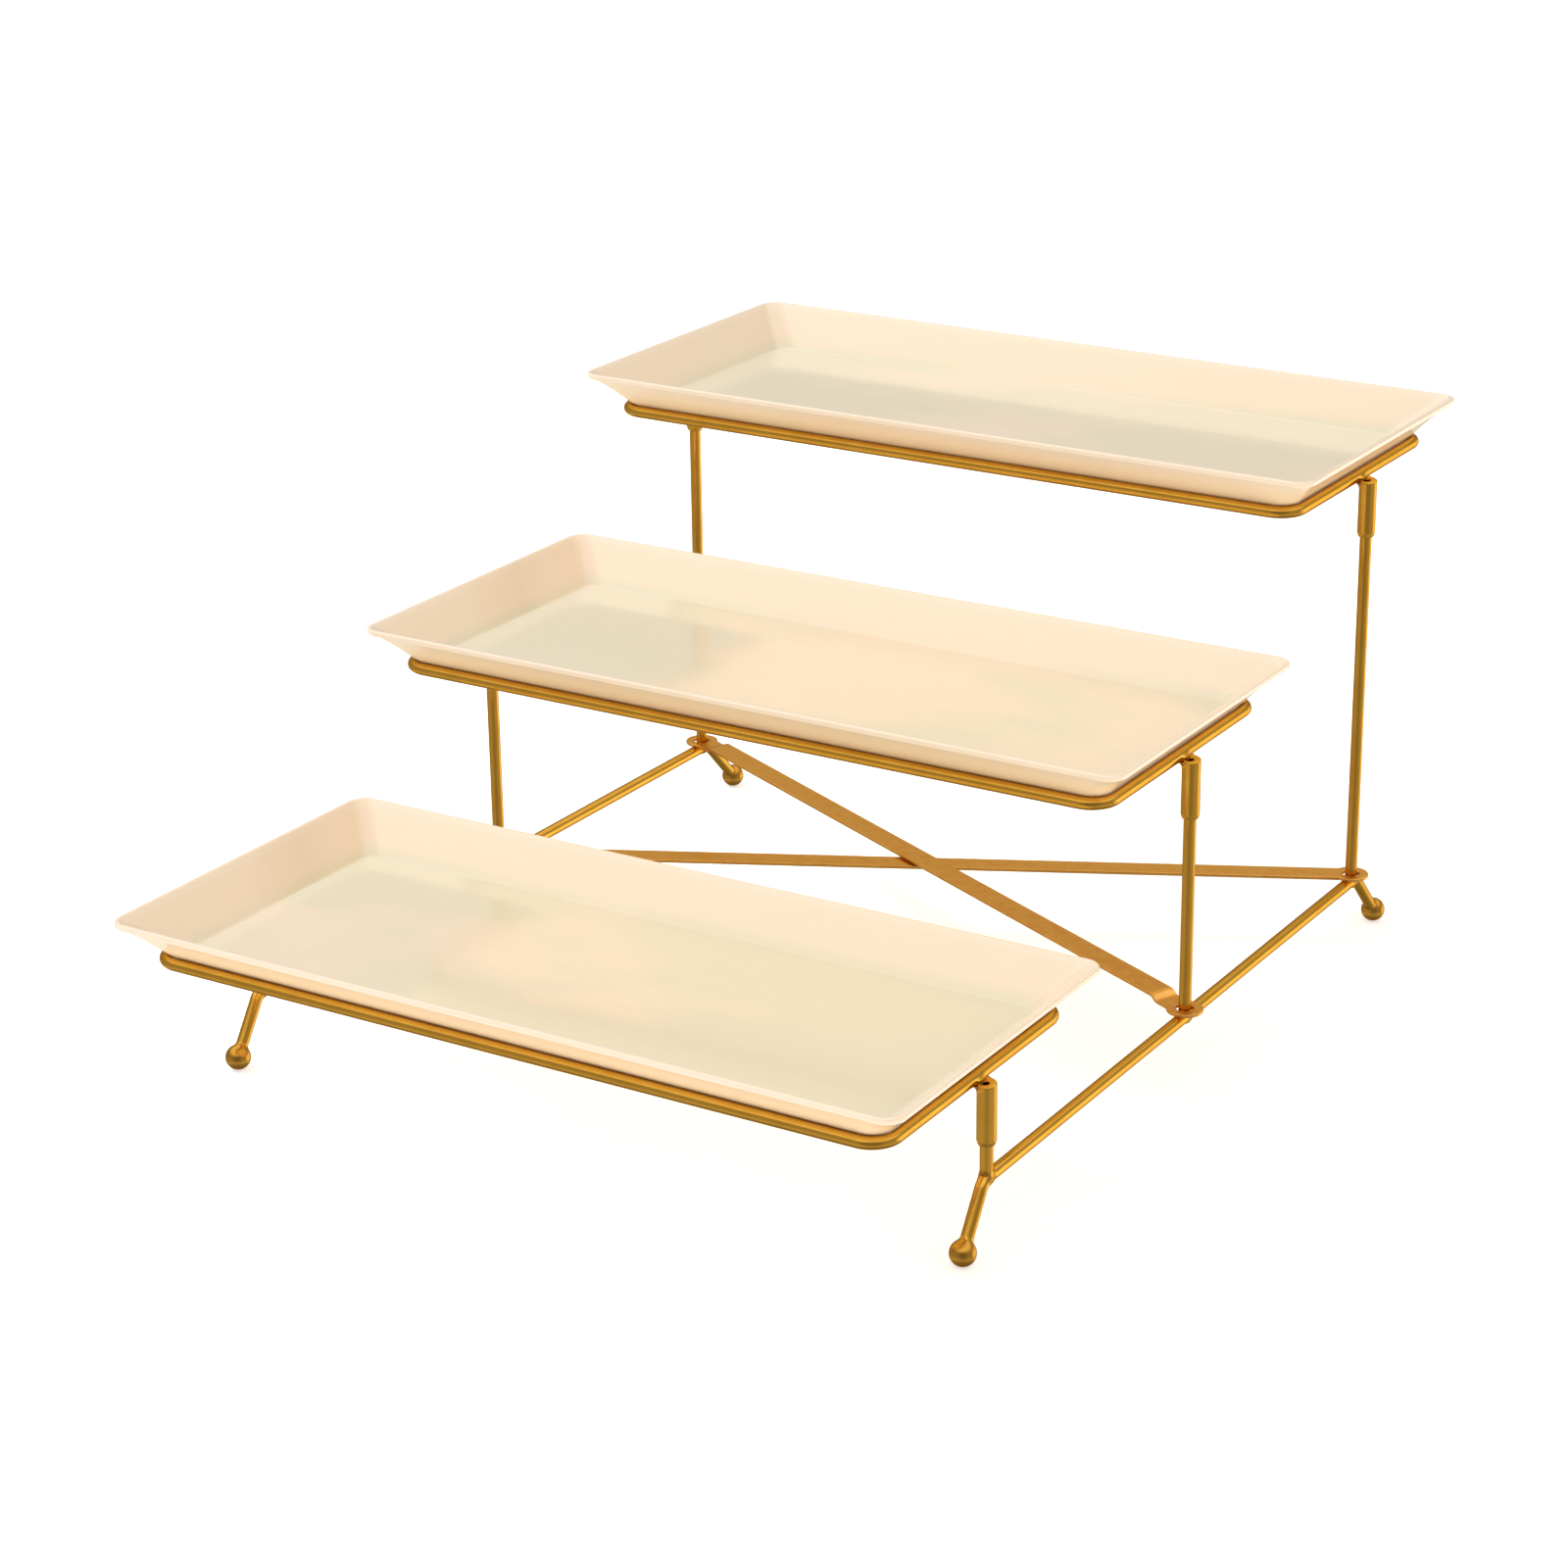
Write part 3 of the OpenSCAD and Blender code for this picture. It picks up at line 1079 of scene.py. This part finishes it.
@dataclass
class Holder:
    """A wire holder: a rectangular ring of wire and a socket tube under each short side."""

    tier: Tier
    finishes: Finishes
    corner: float = 9.0 * MM
    corner_steps: int = 24
    sides: int = 36
    tube_sides: int = 56
    tube_step: float = 0.35 * MM
    step: float = 0.7 * MM
    weld: float = 3.0 * MM
    bore: float = 2.3 * MM
    mouth: float = 1.2 * MM
    crimp: float = 1.6 * MM
    crimp_in: float = 0.45 * MM
    drop: float = 0.9 * MM
    slant: float = 0.15
    slant_high: float = 6.0 * MM
    slant_pivot: float = 1.2 * MM
    lean: float = 1.0 * MM
    head_high: float = 1.3 * MM

    def __post_init__(self) -> None:
        """Reads the holder's places from the frame."""
        low, high = edges_of(f"{self.tier.word}_ring")
        self.wire = float(high[2] - low[2]) / 2
        self.centre = (low + high) / 2
        self.half = (high - low)[:2] / 2 - self.wire

    def tube_rod(self, side: Side) -> Rod:
        """A socket tube as a rod, from its lower end up to the middle of the wire.

        Args:
            side: The end that the tube hangs from.

        Returns:
            The rod.
        """
        low, high = edges_of(f"{self.tier.word}_{side.value}_socket")
        middle = (low + high) / 2
        radius = float(high[1] - low[1]) / 2
        foot = np.array([middle[0], middle[1], low[2]])
        head = np.array([middle[0], middle[1], self.centre[2]])
        return Rod(foot, head, radius)

    def side_rod(self, side: Side) -> Rod:
        """One of the ring's short sides as a rod.

        Args:
            side: Which one.

        Returns:
            The rod, between the corners' arcs.
        """
        x = self.centre[0] + (self.half[0] if side is Side.RIGHT else -self.half[0])
        reach = np.array([0.0, self.half[1] - self.corner, 0.0])
        middle = np.array([x, self.centre[1], self.centre[2]])
        return Rod(middle - reach, middle + reach, self.wire)

    def ring_skin(self) -> Skin:
        """The ring: a round section carried round a rounded rectangle, welds raised.

        Returns:
            The ring, a loop both ways.
        """
        x, y = self.half
        outline = filleted(
            [(x, y), (-x, y), (-x, -y), (x, -y)], [self.corner] * 4, self.step, True,
            self.corner_steps,
        )
        path = np.column_stack([outline, np.zeros(len(outline))]) + self.centre
        points, normals = swept(path, np.full(len(path), self.wire), UP, self.sides, True)
        tubes = [self.tube_rod(side) for side in Side]
        points, weld = swell(points, normals, self.sunk(tubes), self.weld)
        return Skin(points, {"weld": weld}, loop=True)

    def sunk(self, tubes: Sequence[Rod]) -> list[Rod]:
        """The tubes with their heads drawn down, so that a rod's round end stays in the tube."""
        return [Rod(t.start, t.end - UP * (t.radius + self.drop), t.radius) for t in tubes]

    def tube_skin(self, side: Side) -> Skin:
        """A socket tube: bored for its post, crimped below, its head cut low at the front.

        The head's hole leans forward over its last stretch only, above the post's end, and the
        weld raises the outer skin and leaves the bore round.

        Args:
            side: The end that the tube hangs from.

        Returns:
            The tube, outside and bore in one loop.
        """
        tube = self.tube_rod(side)
        long = float(tube.end[2] - tube.start[2])
        outer, neck = tube.radius, tube.radius - self.crimp_in
        top = long - self.drop
        corners = [
            (self.bore, 0.0), (neck, 0.0), (outer, self.crimp), (outer, top),
            (self.mouth, top - 0.1 * MM), (self.mouth, top - 0.5 * MM),
            (self.bore, top - 0.9 * MM),
        ]
        radii = [0.1 * MM, 0.25 * MM, 0.6 * MM, 0.7 * MM, 0.15 * MM, 0.1 * MM, 0.1 * MM]
        profile = filleted(corners, radii, self.tube_step, True, 5)
        points, normals = turned(profile, tube.start, self.tube_sides, True)
        backward = points[..., 1] - tube.start[1]
        above = points[..., 2] - tube.start[2] - top
        near_top = np.clip(above / self.slant_high + 1.0, 0.0, 1.0) ** 2
        inner = np.clip((outer - profile[:, :1]) / (outer - self.mouth), 0.0, 1.0)
        points[..., 2] += self.slant * near_top * (backward - self.slant_pivot)
        above = points[..., 2] - tube.start[2] - top
        head = np.clip(above / self.head_high + 1.0, 0.0, 1.0)
        points[..., 1] -= self.lean * head * inner
        raised, weld = swell(points, normals, [self.side_rod(side)], self.weld)
        outside = np.clip((profile[:, :1] - self.bore) / (neck - self.bore), 0.0, 1.0)
        points += outside[..., None] * (raised - points)
        return Skin(points, {"weld": weld * outside}, loop=True)

    def build(self) -> None:
        """Makes the ring and its two tubes."""
        word = self.tier.word
        body = f"{word}_holder"
        name = f"{word}_holder_wire"
        mesh = self.ring_skin().mesh(name)
        placed(name, mesh, self.finishes.wire, body, f"{word}_ring")
        for side in Side:
            name = f"{word}_{side.value}_tube"
            mesh = self.tube_skin(side).mesh(name)
            node = f"{word}_{side.value}_socket"
            placed(name, mesh, self.finishes.wire, body, node)


# ---------------------------------------------------------------------------------------------
# The platters


@dataclass
class Platter:
    """A shallow rectangular platter: flat floor, walls flared at 45 degrees, upright lip."""

    tier: Tier
    finishes: Finishes
    rim: float = 1.4 * MM
    floor: float = 3.6 * MM
    lip: float = 2.2 * MM
    ledge: float = 1.2 * MM
    rim_corner: float = 7.0 * MM
    foot_corner: float = 7.5 * MM
    floor_corner: float = 6.0 * MM
    recess: float = 0.9 * MM
    foot_ring: float = 5.0 * MM
    foot_ring_corner: float = 9.0 * MM
    sway: float = 0.35 * MM
    station: float = 1.2 * MM
    edge_radii: tuple[float, ...] = (0.0, 3.0, 0.8, 0.7, 0.7, 0.6, 1.3, 0.35, 0.5, 0.0)
    divisions: tuple[int, int, int] = (10, 60, 28)

    def __post_init__(self) -> None:
        """Reads the platter's place and size from the frame."""
        low, high = edges_of(f"{self.tier.word}_platter")
        self.low = low
        self.centre = (low + high) / 2
        self.half = (high - low) / 2
        self.high = float(high[2] - low[2])

    def section(self) -> tuple[np.ndarray, np.ndarray, Layers]:
        """The platter's section as stations of (inset from the rim, height over the foot).

        It runs from the middle of the floor out over the wall, the lip and the outer wall, and
        in under the foot to the middle again. Corners are arcs. The outer wall is drawn in by
        sway times sin(2 pi s), where s runs down it from 0 to 1: hollow above and full below.

        Returns:
            The stations, each row's corner radius, and the material layers.
        """
        flare = self.high - self.lip
        floor_z = self.recess + self.floor
        middle = float(self.half[1])
        foot = self.ledge + flare
        ring_in = foot + self.foot_ring
        corners = [
            (middle, floor_z), (foot, floor_z), (self.rim, self.high), (0.0, self.high),
            (0.0, flare), (self.ledge, flare), (foot, 0.0), (ring_in, 0.0),
            (ring_in + 0.5 * MM, self.recess), (middle, self.recess),
        ]
        line = filleted(corners, [r * MM for r in self.edge_radii], self.station, arc_steps=7)
        inset, height = line[:, 0], line[:, 1]
        row = np.arange(len(line))
        turn = int(np.argmin(inset))
        outer = row > turn
        side = outer & (inset > self.ledge) & (inset < foot)
        s = np.clip((flare - height) / flare, 0.0, 1.0)
        inset = inset + np.where(side, self.sway * np.sin(2 * math.pi * s), 0.0)
        down = np.clip((self.high - height) / (self.high - floor_z), 0.0, 1.0)
        inner_corner = self.rim_corner - self.rim
        corner = np.where(
            outer,
            self.rim_corner + (self.foot_corner - self.rim_corner) * s,
            inner_corner + (self.floor_corner - inner_corner) * down,
        )
        corner = np.where(inset < self.rim, self.rim_corner - inset, corner)
        corner = np.minimum(corner, middle - inset)
        under = outer & (inset > foot)
        corner = np.where(under, np.minimum(corner, self.foot_ring_corner), corner)
        from_rim = np.hypot(inset - 1.5 * MM, (height - self.high) * 0.6)
        layers = {
            "outer": np.clip((row - turn) / 4, 0.0, 1.0),
            "pool": np.where(outer, 0.0, np.clip(1.3 - (height - floor_z) / (3 * MM), 0, 1)),
            "edge": np.clip(1.35 - from_rim / (2.2 * MM), 0.0, 1.0),
            # low: painted shade and painted gold reflection, growing down the outer wall towards
            # the ring
            "low": np.where(outer, np.clip(1.5 * s, 0.0, 1.0) ** 1.3, 0.0),
            "bare": np.where(outer & (height < 0.35 * MM), 1.0, 0.0),
        }
        return np.column_stack([inset, height]), np.maximum(corner, 0.0), layers

    def skin(self) -> Skin:
        """The platter: its section carried round nested rounded rectangles.

        Returns:
            The platter, with a pole in the middle of its floor and of its underside.
        """
        line, corner, layers = self.section()
        outline = nested_rectangles(
            self.half[0] - line[:, 0], self.half[1] - line[:, 0], corner, self.divisions
        )
        height = np.broadcast_to(line[:, 1, None, None], (*outline.shape[:2], 1))
        points = np.concatenate([outline, height], axis=-1)
        points = points + np.array([self.centre[0], self.centre[1], self.low[2]])
        return Skin(points, {key: rows[:, None] for key, rows in layers.items()})

    def build(self) -> None:
        """Makes the platter."""
        word = self.tier.word
        name = f"{word}_glazed_platter"
        node = f"{word}_platter"
        mesh = self.skin().mesh(name)
        placed(name, mesh, self.finishes.glaze, f"{word}_plate", node)


# ---------------------------------------------------------------------------------------------
# The studio


@dataclass
class Studio:
    """A pale floor, soft light and the camera."""

    azimuth: float = 29.89
    elevation: float = 20.88
    distance: float = 1.30
    aim: tuple[float, float, float] = (0.0508, -0.0184, 0.0985)
    lens: float = 85.9
    shift: float = -0.0872
    horizon: Colour = (1.0, 0.87, 0.69)
    zenith: Colour = (0.78, 0.71, 0.60)
    air_strength: float = 0.82
    room: float = 1.45
    right: float = 1.2
    strip_turn: float = 24.0
    near: float = 0.20

    def camera(self) -> None:
        """Sets the camera up on its line of sight, level with the horizon."""
        a, e = math.radians(self.azimuth), math.radians(self.elevation)
        back = Vector((math.sin(a) * math.cos(e), -math.cos(a) * math.cos(e), math.sin(e)))
        data = bpy.data.cameras.new("camera")
        data.lens = self.lens
        data.sensor_width = 36.0
        data.shift_x = self.shift
        data.clip_start, data.clip_end = 0.05, 50.0
        camera = bpy.data.objects.new("camera", data)
        camera.location = Vector(self.aim) + back * self.distance
        camera.rotation_euler = (-back).to_track_quat("-Z", "Y").to_euler()
        bpy.context.scene.collection.objects.link(camera)
        bpy.context.scene.camera = camera

    def lamp(self, name: str, place: Sequence[float], size: float, power: float,
             colour: Colour = (1.0, 1.0, 1.0)) -> None:
        """Adds a square soft light that faces the stand.

        Args:
            name: The light's name.
            place: Where it hangs.
            size: Its side.
            power: Its power in watts.
            colour: Its colour.
        """
        data = bpy.data.lights.new(name, "AREA")
        data.shape = "SQUARE"
        data.size = size
        data.energy = power
        data.color = colour
        lamp = bpy.data.objects.new(name, data)
        lamp.location = place
        lamp.rotation_euler = (Vector(self.aim) - Vector(place)).to_track_quat("-Z", "Y").to_euler()
        lamp.visible_camera = False
        lamp.visible_glossy = False
        bpy.context.scene.collection.objects.link(lamp)

    def floor(self) -> None:
        """Lays a wide pale floor under the feet."""
        half = 14.0
        mesh = bpy.data.meshes.new("floor")
        mesh.from_pydata([(-half, -half, 0), (half, -half, 0), (half, half, 0), (-half, half, 0)],
                         [], [(0, 1, 2, 3)])
        paint = Graph(bpy.data.materials.new("pale_floor")).finish(
            Base_Color=(0.93, 0.93, 0.93), Roughness=0.85,
            Emission_Color=(0.86, 0.93, 1.0), Emission_Strength=0.56,
        )
        mesh.materials.append(paint)
        floor = bpy.data.objects.new("floor", mesh)
        floor.visible_glossy = False
        bpy.context.scene.collection.objects.link(floor)

    def air(self) -> None:
        """Fills the room: even warm light on matt surfaces, dark walls and strips for shiny ones.

        Shiny surfaces see a dim room with a bright ceiling, a paler band low down, a bright
        strip low to the camera's right and a little behind the stand, and a dark patch behind
        the camera. The stops of level go from straight down to straight up.
        """
        world = bpy.data.worlds.new("studio")
        g = Graph(world)
        heading = g.node("TexCoord", output="Generated")
        height = g.node("SeparateXYZ", None, 2, Vector=heading)
        a = math.radians(self.azimuth)
        strip = a + math.radians(self.strip_turn)
        rightward, nearward = (
            g.node("VectorMath", {"operation": "DOT_PRODUCT"}, "Value", Vector=heading,
                   Vector_001=way)
            for way in (
                (math.cos(strip), math.sin(strip), 0.0), (math.sin(a), -math.cos(a), 0.0)
            )
        )
        overhead = g.ramp(height, (0.35, 0.0), (0.75, 1.0))
        level = g.ramp(
            0.5 * height + 0.5,
            (0.00, 0.20), (0.12, 0.30), (0.21, 0.62), (0.30, 0.38), (0.42, 0.36), (0.58, 0.30),
            (0.72, 0.36), (0.83, 0.95), (0.93, 1.05), (1.00, 0.60),
        )
        low = g.ramp(height, (0.02, 1.0), (0.25, 0.0))
        right = g.ramp(rightward, (0.78, 0.0), (0.94, 1.0)) * low
        near = g.ramp(nearward, (0.70, 0.0), (0.93, 1.0))
        strips = self.room * level + self.right * right - self.near * near
        matt = g.node("Background", Color=g.blend(overhead, self.horizon, self.zenith),
                      Strength=self.air_strength)
        shiny = g.node("Background", Color=(1.0, 0.93, 0.82), Strength=strips)
        is_shiny = g.node("LightPath", None, "Is Glossy Ray")
        mixed = g.node("MixShader", Fac=is_shiny, Shader=matt, Shader_001=shiny)
        g.node("OutputWorld", None, None, Surface=mixed)
        bpy.context.scene.world = world

    def build(self) -> None:
        """Sets the whole studio up."""
        scene = bpy.context.scene
        scene.view_settings.view_transform = "Standard"
        self.camera()
        self.floor()
        self.air()
        self.lamp("key", (-2.80, -0.75, 4.35), 1.9, 162.0, (0.94, 0.98, 1.0))
        self.lamp("glow", (2.60, -0.90, 1.30), 1.8, 14.0, (1.0, 0.72, 0.36))


def main() -> None:
    """Builds the stand round its frame, one sub-assembly after another."""
    logging.basicConfig(level=logging.INFO, format="%(name)s: %(message)s")
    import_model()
    Studio().build()
    finishes = Finishes.mixed()
    Base(finishes).build()
    for tier in Tier:
        Holder(tier, finishes).build()
        Platter(tier, finishes).build()


if __name__ == "__main__":
    main()
